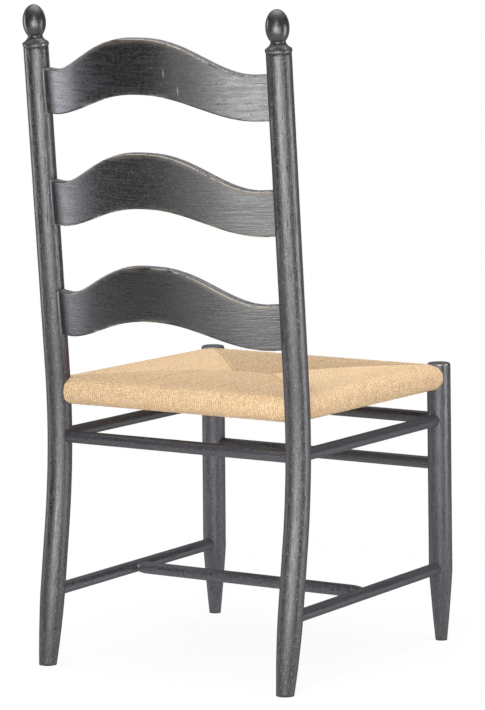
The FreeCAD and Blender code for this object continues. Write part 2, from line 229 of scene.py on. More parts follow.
postLow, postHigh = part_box("rear_post_left")
postX = (postLow.x + postHigh.x) / 2
headHeight = postHigh.z
kneeHeight = seatHeight - post["kneeBelowSeat"]
kneeTangent = post["kneeRadius"] * np.tan((post["footKick"] + post["backLean"]) / 2)
bendStartZ = kneeHeight - kneeTangent * np.cos(post["footKick"])
bendCentreY = kneeTangent * np.sin(post["footKick"]) + post["kneeRadius"] * np.cos(post["footKick"])
kneeY = postLow.y + post["radius"] + post["kneeRadius"] - bendCentreY
lowerLength = bendStartZ / np.cos(post["footKick"])
bendLength = post["kneeRadius"] * (post["footKick"] + post["backLean"])


def postPath(s):
    # arc length to the axis point (y, z) and its heading: a line, an arc about the bend's centre, a line
    kick = post["footKick"]
    angle = -kick + np.clip((s - lowerLength) / bendLength, 0, 1) * (kick + post["backLean"])
    heading = np.stack([np.sin(angle), np.cos(angle)], 1)
    spoke = np.stack([-np.cos(angle), np.sin(angle)], 1)
    start = np.array([kneeY + kneeHeight * np.tan(kick), 0.0])
    onLower = start + np.minimum(s, lowerLength)[:, None] * np.array([-np.sin(kick), np.cos(kick)])
    onBend = post["kneeRadius"] * (spoke - np.array([-np.cos(kick), -np.sin(kick)]))
    beyond = np.maximum(s - lowerLength - bendLength, 0)[:, None] * heading
    return onLower + onBend + beyond, heading


def postAxis(z):
    # y of the post's axis at height z, read off many points of its path
    s = np.linspace(0, headHeight * post["pathSpare"], post["pathPoints"])
    points, _ = postPath(s)
    return float(np.interp(z, points[:, 1], points[:, 0]))


def postPoint(z, side):
    # axis point of a rear post at height z
    return np.array([side * postX, postAxis(z), z])


def headProfile(length):
    # length along the axis and radius: a straight quirk, half a sine for the bead, a line less a parabola
    # for the cove, and an ellipse from the neck to the tip
    quirkRings, beadRings, coveRings, eggRings = post["headRings"]
    eggCentre = length - post["eggHalf"]
    beadTop = eggCentre - post["neckBelowEgg"] - post["coveHeight"]
    beadBottom = beadTop - post["beadHeight"]
    quirkBottom = beadBottom - post["quirkHeight"]
    neckRadius = post["eggRadius"] * np.sqrt(1 - (post["neckBelowEgg"] / post["eggHalf"]) ** 2)
    t = np.linspace(0, 1, quirkRings)[1:]
    quirkS = quirkBottom + t * post["quirkHeight"]
    quirkR = post["radius"] + t * (post["quirkRadius"] - post["radius"])
    u = np.linspace(0, np.pi, beadRings)
    beadS = beadBottom + post["beadHeight"] * (1 - np.cos(u)) / 2
    beadR = post["beadRoot"] + (post["beadRadius"] - post["beadRoot"]) * np.sin(u)
    v = np.linspace(0, 1, coveRings)[1:]
    coveS = beadTop + post["coveHeight"] * v
    coveR = post["beadRoot"] + (neckRadius - post["beadRoot"]) * v - 4 * post["coveHollow"] * v * (1 - v)
    neckAngle = -np.arcsin(post["neckBelowEgg"] / post["eggHalf"])
    w = np.linspace(neckAngle, quarterTurn, eggRings)[1:]
    eggS = eggCentre + post["eggHalf"] * np.sin(w)
    eggR = np.maximum(post["eggRadius"] * np.cos(w), turned["tip"])
    s = np.concatenate([quirkS, beadS, coveS, eggS])
    r = np.concatenate([quirkR, beadR, coveR, eggR])
    return s, r, quirkBottom, beadBottom + post["beadHeight"] / 2


def makeRearPost(side, word, seed):
    # the foot's and shaft's radius, then the head's profile, carried along the bent path
    bendEnd, _ = postPath(np.array([lowerLength + bendLength]))
    total = lowerLength + bendLength + (headHeight - bendEnd[0, 1]) / np.cos(post["backLean"])
    headS, headR, shaftEnd, beadMiddle = headProfile(total)
    shaft = shaftStations(post, shaftEnd)
    s = np.concatenate([shaft, headS])
    r = np.concatenate([taperedFoot(shaft, post), headR])
    flat, heading = postPath(s)
    centres = np.stack([np.full(len(s), side * postX), flat[:, 0], flat[:, 1]], 1)
    headings = np.stack([np.zeros(len(s)), heading[:, 0], heading[:, 1]], 1)
    polish = np.clip((s - beadMiddle) / post["polishFade"], 0, 1)
    piece = roundPiece("turned_post_" + word, (centres, headings, s), r, seed,
                       onFloor=True, edge=arrisDistance(s, beadMiddle), polish=polish)
    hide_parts("rear_post_" + word)
    return piece


# Front legs: straight, raked a little, with a low rounded crown
leg = {
    "radius": 0.0199,
    "rake": radians(1.33),
    "leanIn": radians(0.35),
    "footRadius": 0.0099,
    "footBulge": 0.0005,
    "footLength": 0.120,
    "crownHeight": 0.0014,
    "crownEdge": 0.0036,
    "crownArris": 0.002,
    "footRings": 30,
    "shaftRings": 100,
    "edgeRings": 10,
    "crownRings": 8}

legLow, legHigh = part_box("front_leg_left")
legFootX = legHigh.x - leg["radius"] + leg["footLength"] * np.tan(leg["leanIn"])
legFootY = legLow.y + leg["radius"] - leg["footLength"] * np.tan(leg["rake"])


def legPoint(z, side):
    # axis point of a front leg at height z: a straight line, in and back as it rises
    return np.array([
        side * (legFootX - z * np.tan(leg["leanIn"])), legFootY + z * np.tan(leg["rake"]), z])


def makeFrontLeg(side, word, seed):
    # a straight axis: tapered foot, shaft, a quarter circle at the crown's edge, a low cone to the tip
    foot = legPoint(0.0, side)
    top = legPoint(legHigh.z, side)
    total = np.linalg.norm(top - foot)
    heading = (top - foot) / total
    edgeTop = total - leg["crownHeight"]
    edgeLow = edgeTop - leg["crownEdge"]
    inner = leg["radius"] - leg["crownEdge"]
    shaft = shaftStations(leg, edgeLow)
    turn = np.linspace(0, quarterTurn, leg["edgeRings"])[1:]
    share = np.linspace(0, 1, leg["crownRings"])[1:]
    edgeS = edgeLow + leg["crownEdge"] * np.sin(turn)
    edgeR = inner + leg["crownEdge"] * np.cos(turn)
    crownR = np.maximum(inner * (1 - share), turned["tip"])
    s = np.concatenate([shaft, edgeS, edgeTop + leg["crownHeight"] * share])
    r = np.concatenate([taperedFoot(shaft, leg), edgeR, crownR])
    headings = np.repeat(heading[None, :], len(s), 0)
    piece = roundPiece("turned_leg_" + word, (foot + s[:, None] * heading, headings, s), r, seed,
                       onFloor=True, edge=arrisDistance(s, edgeLow + leg["crownArris"]))
    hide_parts("front_leg_" + word)
    return piece


# Rungs and the stretcher between the two lower side rungs
rung = {
    "radius": 0.01025,
    "rearBelowSeat": 0.075,
    "frontUpperBelowSeat": 0.070,
    "sideUpperBelowSeat": (0.0735, 0.0718),  # at the post, at the leg
    "frontLower": 0.303,
    "sideLower": (0.1203, 0.1255),
    "sunk": 0.007,
    "sides": 40,
    "stations": 120}

stretcher = {
    "place": 0.49,  # share of the lower side rung, from the post
    "noseRadius": 0.0082,
    "noseLength": 0.014,
    "wornLength": 0.03,
    "sunk": 0.004}

sunkInPost = post["radius"] - rung["sunk"]
sunkInLeg = leg["radius"] - rung["sunk"]
sunkInRung = rung["radius"] - stretcher["sunk"]


def makeBar(name, node, start, end, seed, sunk, noses=False):
    # a straight round bar from axis to axis, its ends sunk in what carries them; a nose swells from
    # noseRadius by the sine of a quarter turn
    heading = (end - start) / np.linalg.norm(end - start)
    first = start + heading * sunk[0]
    total = np.linalg.norm(end - start) - sunk[0] - sunk[1]
    s = np.linspace(0, total, rung["stations"])
    r = np.full(len(s), rung["radius"])
    edge = None
    if noses:
        away = np.minimum(s, total - s) - stretcher["sunk"]
        t = np.clip(away / stretcher["noseLength"], 0, 1)
        r = stretcher["noseRadius"] + (rung["radius"] - stretcher["noseRadius"]) * np.sin(t * quarterTurn)
        edge = farFromEdge * np.clip(away / stretcher["wornLength"], 0, 1) ** 2
    headings = np.repeat(heading[None, :], len(s), 0)
    axis = (first + s[:, None] * heading, headings, s)
    piece = roundPiece(name, axis, r, seed, sides=rung["sides"], edge=edge)
    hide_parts(node)
    return piece


# Back slats: bowed rearward, arched above and below, tilted with the posts
slat = {
    "thickness": 0.016,
    "edgeRadius": 0.0026,
    "endHeight": 0.0724,
    "topRise": 0.060,
    "topReach": 0.83,
    "topEase": 1.26,
    "bottomRise": 0.0435,
    "bottomReach": 0.866,
    "bottomEase": 1.11,
    "bow": 0.060,
    "endOffset": -0.011,
    "tilt": radians(7.0),
    "tenon": 0.0105,
    "rimBehind": 0.0012,
    "rimWidth": 0.0018,
    "lowestAboveSeat": 0.1318,
    "topBelowHead": 0.137,
    "uneven": 0.0001,
    "unevenTurns": 60,
    "flatWithin": 0.00001,
    "flatWear": 2.6,
    "stations": 240,
    "facePoints": 34,
    "edgePoints": 7,
    "cornerPoints": 7}

slatWords = ("bottom", "middle", "top")
lowest, highest = seatHeight + slat["lowestAboveSeat"], headHeight - slat["topBelowHead"]
slatHeights = np.linspace(lowest, highest, len(slatWords))
bowRadius = (postX ** 2 + slat["bow"] ** 2) / (2 * slat["bow"])
bowCentreY = slat["endOffset"] + slat["bow"] - bowRadius


def slatFace(x, out):
    # y of a slat's face before the tilt: a circle about the bow's centre, out beyond the slat's middle
    reach = np.minimum(np.abs(x), postX)
    return bowCentreY + np.sqrt((bowRadius + out) ** 2 - reach ** 2)


def mortiseRim(points):
    # on a post, 1 on the line where a slat's rear face enters it, falling to 0 over rimWidth
    rim = np.zeros(points.shape[:-1])
    for height in slatHeights:
        dy = points[..., 1] - postAxis(height)
        dz = points[..., 2] - height
        y = dy * np.cos(slat["tilt"]) - dz * np.sin(slat["tilt"])
        z = dy * np.sin(slat["tilt"]) + dz * np.cos(slat["tilt"])
        rear = slatFace(points[..., 0], slat["thickness"] / 2)
        beside = 1 - np.abs(y - rear - slat["rimBehind"]) / slat["rimWidth"]
        within = (np.abs(z) < slat["endHeight"] / 2) & (np.abs(points[..., 0]) < postX)
        rim = np.maximum(rim, np.clip(beside, 0, 1) * within)
    return rim


def slatOutline(x):
    # heights of the bottom and top edge: the end height, raised by a cosine squared that is eased outwards
    def rise(word):
        eased = np.minimum(np.abs(x) / postX / slat[word + "Reach"], 1.0) ** slat[word + "Ease"]
        return slat[word + "Rise"] * (1 - np.sin(quarterTurn * eased) ** 2)

    half = slat["endHeight"] / 2
    return -half + rise("bottom"), half + rise("top")


def roundedSection(y0, y1, z0, z1):
    # a closed outline at each station: up the rear face, over the top, down the front face and back
    # below, with a quarter circle of radius * (cos, sin) at each arris; 0 * spreads a value along a side
    radius = slat["edgeRadius"]
    up = (z1 - z0 - 2 * radius) * np.linspace(0, 1, slat["facePoints"] + 2)[None, 1:-1]
    over = (y1 - y0 - 2 * radius) * np.linspace(0, 1, slat["edgePoints"] + 2)[None, 1:-1]
    corner = np.linspace(0, quarterTurn, slat["cornerPoints"])[None, :]
    rear, front, top, bottom = y1 - radius, y0 + radius, z1 - radius, z0 + radius

    def arris(y, z, quarter):
        angle = quarter * quarterTurn + corner
        return y + radius * np.cos(angle), z + radius * np.sin(angle)

    parts = [
        (y1 + 0 * up, bottom + up), arris(rear, top, 0),
        (rear - over, z1 + 0 * over), arris(front, top, 1),
        (y0 + 0 * up, top - up), arris(front, bottom, 2),
        (front + over, z0 + 0 * over), arris(rear, bottom, 3)]
    return (np.concatenate([part[n] for part in parts], 1) for n in (0, 1))


def makeSlat(word, height, seed):
    # a rounded section between two bow circles at each station along X, tilted and set between the posts
    reach = postX - post["radius"] + slat["tenon"]
    x = np.linspace(-reach, reach, slat["stations"])
    half = slat["thickness"] / 2
    limits = (slatFace(x, -half), slatFace(x, half), *slatOutline(x))
    y0, y1, z0, z1 = (values[:, None] for values in limits)
    y, z = roundedSection(y0, y1, z0, z1)

    # distance to the nearest arris; lift is 0 on the lower half, 1 on the upper half and 2 on the top
    toTop, toBottom = z1 - z, z - z0
    edge = np.minimum(y1 - y, y - y0) + np.minimum(toTop, toBottom)
    onFlat = np.minimum(toTop, toBottom) < slat["flatWithin"]
    edge = np.minimum(np.where(onFlat, slat["flatWear"] * edge, edge), farFromEdge)
    lift = np.where(toTop < toBottom, np.where(onFlat, 2.0, 1.0), 0.0)

    along = bowRadius * np.arcsin(x / bowRadius)
    grain = np.stack([overRings(along, y.shape[1]), y - y1, z], -1) + seed * grainShift
    y = y + unevenness(along[:, None], z * slat["unevenTurns"], seed, slat["uneven"])
    tilt = slat["tilt"]
    points = np.stack([
        overRings(x, y.shape[1]),
        y * np.cos(tilt) + z * np.sin(tilt) + postAxis(height),
        -y * np.sin(tilt) + z * np.cos(tilt) + height], -1)
    piece = gridPiece("bowed_slat_" + word, points, {"grain": grain, "edge": edge, "lift": lift})
    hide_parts("back_slat_" + word)
    return piece


# Rush: strands side by side in four quadrants, each over the rolled edge and back beneath
rush = {
    "pitch": 0.0041,
    "crowding": 0.05,
    "acrossShares": (-0.98, -0.78, -0.42, 0.0, 0.42, 0.78, 0.98),
    "strandHeight": 0.0017,
    "proud": 0.0004,
    "swellLength": 0.05,
    "swellRate": 2.3,
    "swellHeight": 0.00012,
    "heightSpread": 0.00010,
    "wander": 0.00021,
    "wanderRate": 0.6,
    "runSpread": 0.0008,
    "rollHalf": 0.021,
    "rollCorner": 0.0195,
    "ridgeHalf": 0.036,
    "sideRaise": 0.001,
    "centreRise": 0.019,
    "crownRise": 0.025,
    "underDrop": 0.015,
    "shortestRun": 0.017,
    "seamDip": 0.0016,
    "seamLength": 0.0045,
    "coursePoints": (46, 9, 5, 26),  # top, each quarter circle, side, underside
    "slopeStep": 0.0001,
    "paintedRollShade": 0.73,
    "paintedBrinkShade": 0.95,
    "brinkWidth": 0.06,
    "lowerShade": 0.12,
    "startSpread": 0.1,
    "seedStep": 211}

# which way each quadrant's strands run out, and its painted light: a tone, and the share of painted shadow in
# specks on the top, in specks on the roll and in furrows
quadrants = {
    "rear": {"out": (0, 1), "paintedLightTone": 1.02, "shadowSpecks": 0.7, "furrowShade": 0.65, "rollShadowSpecks": 0.45},
    "front": {"out": (0, -1), "paintedLightTone": 0.895, "shadowSpecks": 0.95, "furrowShade": 0.75, "rollShadowSpecks": 0.45},
    "left": {"out": (1, 0), "paintedLightTone": 1.02, "shadowSpecks": 0.1, "furrowShade": 0.0, "rollShadowSpecks": 0.8},
    "right": {"out": (-1, 0), "paintedLightTone": 1.06, "shadowSpecks": 0.1, "furrowShade": 0.0, "rollShadowSpecks": 0.8}}

seatLow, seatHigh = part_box("rush_seat")
middleY = (seatHigh.y + seatLow.y) / 2
halfDepth = (seatHigh.y - seatLow.y) / 2
sideRun = seatHigh.x - rush["ridgeHalf"]


def seatSection(distance, run, railHeight):
    # height of the seat's top at a distance in from its edge: the parabola through roll, crown and centre
    x0, z0 = rush["rollCorner"], railHeight + rush["rollHalf"]
    x1, z1 = run / 2, seatHeight + rush["crownRise"]
    x2, z2 = run, seatHeight + rush["centreRise"]
    return (
        z0 * (distance - x1) * (distance - x2) / ((x0 - x1) * (x0 - x2))
        + z1 * (distance - x0) * (distance - x2) / ((x1 - x0) * (x1 - x2))
        + z2 * (distance - x0) * (distance - x1) / ((x2 - x0) * (x2 - x1)))


def strandLoop(runs, fullRun, railHeight):
    # a strand's closed course, as distance in from the seat's edge and height: out along the crowned top,
    # a quarter circle, down the side, a quarter circle, and in along the straight underside; with the
    # outward normal and the length along the strand at each point
    corner, half = rush["rollCorner"], rush["rollHalf"]
    topPoints, turnPoints, sidePoints, underPoints = rush["coursePoints"]
    run = runs[:, None]
    topD = corner + (run - corner) * np.linspace(1, 0, topPoints)[None, :]
    topZ = seatSection(topD, fullRun, railHeight)
    slope = (seatSection(topD + rush["slopeStep"], fullRun, railHeight) - topZ) / rush["slopeStep"]
    turn = np.linspace(0, quarterTurn, turnPoints)[None, 1:]
    down = np.linspace(0, 1, sidePoints)[None, 1:]
    underD = corner + (run - corner) * np.linspace(0, 1, underPoints)[None, 1:]
    underStart = railHeight - half
    underSlope = (seatHeight - rush["underDrop"] - underStart) / (fullRun - corner)
    upperZ = railHeight + half - corner
    lowerZ = railHeight - half + corner
    parts = [
        (topD, topZ, -slope, 1.0),
        (corner - corner * np.sin(turn), upperZ + corner * np.cos(turn), -np.sin(turn), np.cos(turn)),
        (0.0, railHeight + (half - corner) * (1 - 2 * down), -1.0, 0.0),
        (corner - corner * np.cos(turn), lowerZ - corner * np.sin(turn), -np.cos(turn), -np.sin(turn)),
        (underD, underStart + underSlope * (underD - corner), underSlope, -1.0)]
    spread = [np.broadcast_arrays(run, *part)[1:] for part in parts]
    d, z, outward, upward = (np.concatenate([part[n] for part in spread], 1) for n in range(4))
    normal = np.stack([outward, upward], -1)
    normal = normal / np.linalg.norm(normal, axis=-1, keepdims=True)
    step = np.hypot(np.diff(d, axis=1), np.diff(z, axis=1))
    length = np.concatenate([np.zeros_like(run), np.cumsum(step, 1)], 1)
    return d, z, normal, length


def quadrantStrands(word, shares):
    # where each strand lies across the quadrant, and its run from the edge in to the mitre
    onSide = word in ("left", "right")
    width = 2 * halfDepth if onSide else 2 * seatHigh.x
    strands = int(round(width / rush["pitch"]))
    pitch = width / strands
    centres = (np.arange(strands) + 0.5) * pitch - width / 2
    centres[1:-1] += shares.uniform(-1, 1, strands - 2) * rush["crowding"] * pitch
    if onSide:
        runs = sideRun * (1 - np.abs(centres) / halfDepth)
    else:
        runs = halfDepth * np.minimum((seatHigh.x - np.abs(centres)) / sideRun, 1.0)
    runs = runs + shares.uniform(-rush["runSpread"], rush["runSpread"], strands)
    return centres, np.maximum(runs, rush["shortestRun"]), pitch


def makeQuadrant(word, seed):
    # each strand's course, moved out along its normal by a bulge of sqrt(1 - share squared) across the
    # strand, by slow sines along it, and in where it ends at the seam
    shares = np.random.default_rng(seed)
    centres, runs, pitch = quadrantStrands(word, shares)
    strands = len(centres)
    onSide = word in ("left", "right")
    fullRun = sideRun if onSide else halfDepth
    railHeight = seatHeight + rush["sideRaise"] if onSide else seatHeight
    share = np.array(rush["acrossShares"])
    count = len(share)
    strandRuns = np.repeat(runs, count)
    d, z, normal, length = strandLoop(strandRuns, fullRun, railHeight)

    t = length / rush["swellLength"]
    phase = np.repeat(shares.uniform(0, 2 * np.pi, (strands, 3)), count, 0)
    swell = (np.sin(t + phase[:, :1]) + np.sin(rush["swellRate"] * t + phase[:, 1:2])) / 2
    rest = np.repeat(shares.normal(0, rush["heightSpread"], strands), count)[:, None]
    lie = np.tile(share, strands)[:, None]
    bulge = np.sqrt(1 - lie ** 2)
    height = rush["proud"] + (bulge - 1) * rush["strandHeight"] + rest + rush["swellHeight"] * swell
    seam = np.clip(1 - (strandRuns[:, None] - d) / rush["seamLength"], 0, 1) ** 2
    height = height - rush["seamDip"] * seam
    wander = rush["wander"] * np.sin(rush["wanderRate"] * t + phase[:, 2:3])
    position = np.repeat(centres, count)[:, None] + lie * pitch / 2 + wander
    d = d + normal[..., 0] * height
    z = z + normal[..., 1] * height

    # out is the way to the seat's edge, and a quarter turn from it is the way across the strands
    outX, outY = quadrants[word]["out"]
    points = np.stack([
        outX * (seatHigh.x - d) - outY * position,
        middleY + outY * (halfDepth - d) + outX * position, z], -1)

    # what the material reads: length, strand number and place across; then painted light: a tone, lower on
    # the roll and below the rail than on faces turned up, running on the top from a set tone at the brink to
    # the quadrant's own; and the share of painted shadow in specks and furrows
    start = np.repeat(shares.uniform(0, rush["startSpread"], strands), count)[:, None]
    number = np.repeat(np.arange(strands), count)[:, None] + seed * rush["seedStep"]
    strand = np.stack(np.broadcast_arrays(length + start, number, lie), -1)
    look = quadrants[word]
    upward = np.clip(normal[..., 1], 0, 1)
    inward = np.clip((d - rush["rollCorner"]) / rush["brinkWidth"], 0, 1)
    below = np.clip((railHeight - z) / rush["rollHalf"], 0, 1)
    paintedTopTone = rush["paintedBrinkShade"] + (look["paintedLightTone"] - rush["paintedBrinkShade"]) * inward
    paintedLightTone = rush["paintedRollShade"] + (paintedTopTone - rush["paintedRollShade"]) * upward
    shadowSpecks = look["rollShadowSpecks"] + (look["shadowSpecks"] - look["rollShadowSpecks"]) * upward
    shade = np.stack([paintedLightTone * (1 - rush["lowerShade"] * below), shadowSpecks, look["furrowShade"] * inward], -1)
    piece = gridPiece("rush_quadrant_" + word, points, {"strand": strand, "shade": shade})
    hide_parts("rush_seat", "seat_stuffing")
    return piece


# Materials
mixSockets = {"RGBA": (0, 6, 7, 2), "FLOAT": (0, 2, 3, 0)}  # factor, first, second; result


class Nodes:
    # short calls for one node tree, of a material or of the world
    def __init__(self, owner):
        owner.use_nodes = True
        self.owner = owner
        self.tree = owner.node_tree
        self.shader = self.tree.nodes.get("Principled BSDF")

    def add(self, kind, **settings):
        node = self.tree.nodes.new(kind)
        for key, value in settings.items():
            if key in node.inputs:
                node.inputs[key].default_value = value
            else:
                setattr(node, key, value)
        return node

    def feed(self, socket, value):
        # an output is linked; a number or a colour is set on the socket itself
        if isinstance(value, bpy.types.NodeSocket):
            self.tree.links.new(value, socket)
        elif socket.type == "RGBA":
            socket.default_value = (*value, 1.0)
        else:
            socket.default_value = value

    def field(self, name, output="Fac"):
        return self.add("ShaderNodeAttribute", attribute_name=name).outputs[output]

    def stretched(self, vector, scale):
        node = self.add("ShaderNodeMapping", vector_type="POINT", Scale=scale)
        self.feed(node.inputs["Vector"], vector)
        return node.outputs["Vector"]

    def noise(self, vector, scale, detail=2.0, roughness=0.55):
        stretched = self.stretched(vector, scale)
        node = self.add("ShaderNodeTexNoise", Scale=1.0, Detail=detail, Roughness=roughness)
        self.feed(node.inputs["Vector"], stretched)
        return node.outputs["Fac"]

    def spots(self, vector, scale, size, share):
        # round spots, one to a cell, of which only a share shows
        stretched = self.stretched(vector, scale)
        node = self.add("ShaderNodeTexVoronoi", feature="F1", Scale=1.0)
        self.feed(node.inputs["Vector"], stretched)
        shown = self.ramp(node.outputs["Color"], *share)
        return self.times(self.ramp(node.outputs["Distance"], *size), shown)

    def ramp(self, value, low, high, lowOut=0.0, highOut=1.0):
        node = self.add("ShaderNodeMapRange", clamp=True)
        for key, limit in (("From Min", low), ("From Max", high), ("To Min", lowOut), ("To Max", highOut)):
            node.inputs[key].default_value = limit
        self.feed(node.inputs["Value"], value)
        return node.outputs["Result"]

    def parts(self, vector):
        node = self.add("ShaderNodeSeparateXYZ")
        self.feed(node.inputs[0], vector)
        return list(node.outputs)

    def math(self, operation, first, second=0.0):
        node = self.add("ShaderNodeMath", operation=operation)
        self.feed(node.inputs[0], first)
        self.feed(node.inputs[1], second)
        return node.outputs[0]

    def times(self, first, second):
        return self.math("MULTIPLY", first, second)

    def plus(self, first, second):
        return self.math("ADD", first, second)

    def most(self, first, second):
        return self.math("MAXIMUM", first, second)

    def mix(self, factor, first, second, kind="RGBA"):
        node = self.add("ShaderNodeMix", data_type=kind)
        *inputs, result = mixSockets[kind]
        for slot, value in zip(inputs, (factor, first, second)):
            self.feed(node.inputs[slot], value)
        return node.outputs[result]

    def bump(self, height, distance, strength=1.0, below=None):
        node = self.add("ShaderNodeBump", Strength=strength, Distance=distance)
        self.feed(node.inputs["Height"], height)
        if below is not None:
            self.feed(node.inputs["Normal"], below)
        return node.outputs["Normal"]

    def whiteRays(self):
        # 1 for rays from the camera, off a gloss or through glass
        path = self.add("ShaderNodeLightPath").outputs
        return self.most(self.most(path["Is Camera Ray"], path["Is Glossy Ray"]), path["Is Transmission Ray"])


# Paint: scales are per metre along, across and through the grain; a span is where a ramp starts and ends,
# and what it gives there if that isn't 0 and 1
paint = {
    "rub": (0.094, 0.076, 0.050),
    "rubSpan": (0.50, 0.72),
    "rubShare": 0.8,
    "bareWood": (0.80, 0.76, 0.70),
    "hole": (0.002, 0.002, 0.002),
    "scratch": (0.36, 0.35, 0.34),
    "paleRimLine": (0.30, 0.29, 0.30),
    "rimSpan": (0.7, 0.95, 0.35, 1.0),
    "paintedTopSheen": (0.100, 0.094, 0.112),
    "paintedTopSheenShare": 0.75,
    "upperScratchSpan": (0.57, 0.66),
    "liftWear": (0, 1, 0.05, 0.12),
    "streakScale": (8, 300, 300),
    "hazeSpan": (0.8, 1.3),
    "dustSpan": (0.56, 0.68),
    "poreScale": (30, 1000, 1000),
    "patchScale": (7, 18, 18),
    "patchSpan": (0.40, 0.58, 0.4, 1.0),
    "wearScale": (16, 60, 60),
    "brokenScale": (170, 420, 420),
    "brokenShare": 0.5,
    "holeScale": (60, 75, 75),
    "holeSize": (0.05, 0.075, 1.0, 0.0),
    "holeShare": (0.72, 0.73),
    "holeDepth": 0.0005,
    "markScale": (170, 30, 18),
    "markSize": (0.05, 0.16, 1.0, 0.0),
    "markShare": (0.86, 0.87, 0.0, 0.6),
    "roughSpan": (0.75, 1.3),
    "wornRough": 0.25,
    "fibreSpan": (0.5, 0.62),
    "polishCalm": (0, 1, 0.0, 0.8),
    "calmValue": 0.5,
    "polishHaze": 0.3,
    "polishRough": -0.04,
    "edgeOnSpan": (0.47, 0.64, 0.0, 0.5),
    "ior": 1.6}

turnedFinish = {
    "sawn": False,
    "black": (0.0085, 0.0073, 0.0082),
    "haze": (0.0275, 0.0245, 0.0280),
    "dust": (0.15, 0.145, 0.15),
    "dustShare": 0.5,
    "smooth": 0.235,
    "matt": 0.44,
    "streakDepth": 0.00006,
    "mottleScale": (260, 430, 430),
    "mottleDepth": 0.00026,
    "fibreScale": (34, 560, 560),
    "fibreDepth": 0.00026,
    "fibreRough": 0.07,
    "poreSpan": (0.64, 0.72),
    "poreShare": 0.7,
    "rubEdge": (0.0, 0.003, 1.0, 0.0),
    "bareEdge": (0.0003, 0.0009, 1.0, 0.0),
    "bareSpan": (0.84, 0.94)}

# painted light: copies of the posts' paint made lighter for the lower parts, the legs' copy the most; the
# bars' copy also has less dust and a shallower mottle
legFinishPaintedLight = dict(turnedFinish, black=(0.0235, 0.0225, 0.0275), haze=(0.052, 0.050, 0.060))

barFinishPaintedLight = dict(
    turnedFinish, black=(0.0155, 0.0148, 0.0178), haze=(0.038, 0.036, 0.043),
    dustShare=0.25, mottleDepth=0.00018)

slatFinish = {
    "sawn": True,
    "black": (0.0026, 0.0026, 0.0030),
    "haze": (0.0072, 0.0072, 0.0082),
    "dust": (0.06, 0.06, 0.065),
    "dustShare": 0.35,
    "smooth": 0.225,
    "matt": 0.37,
    "streakDepth": 0.00005,
    "mottleScale": (240, 420, 420),
    "mottleDepth": 0.00013,
    "fibreScale": (26, 480, 480),
    "fibreDepth": 0.00034,
    "fibreRough": 0.08,
    "poreSpan": (0.60, 0.68),
    "poreShare": 0.10,
    "rubEdge": (0.001, 0.009, 1.0, 0.0),
    "bareEdge": (0.0008, 0.0019, 1.0, 0.0),
    "bareSpan": (0.79, 0.89)}

middleSlatFinish = dict(slatFinish, smooth=0.27, matt=0.42)


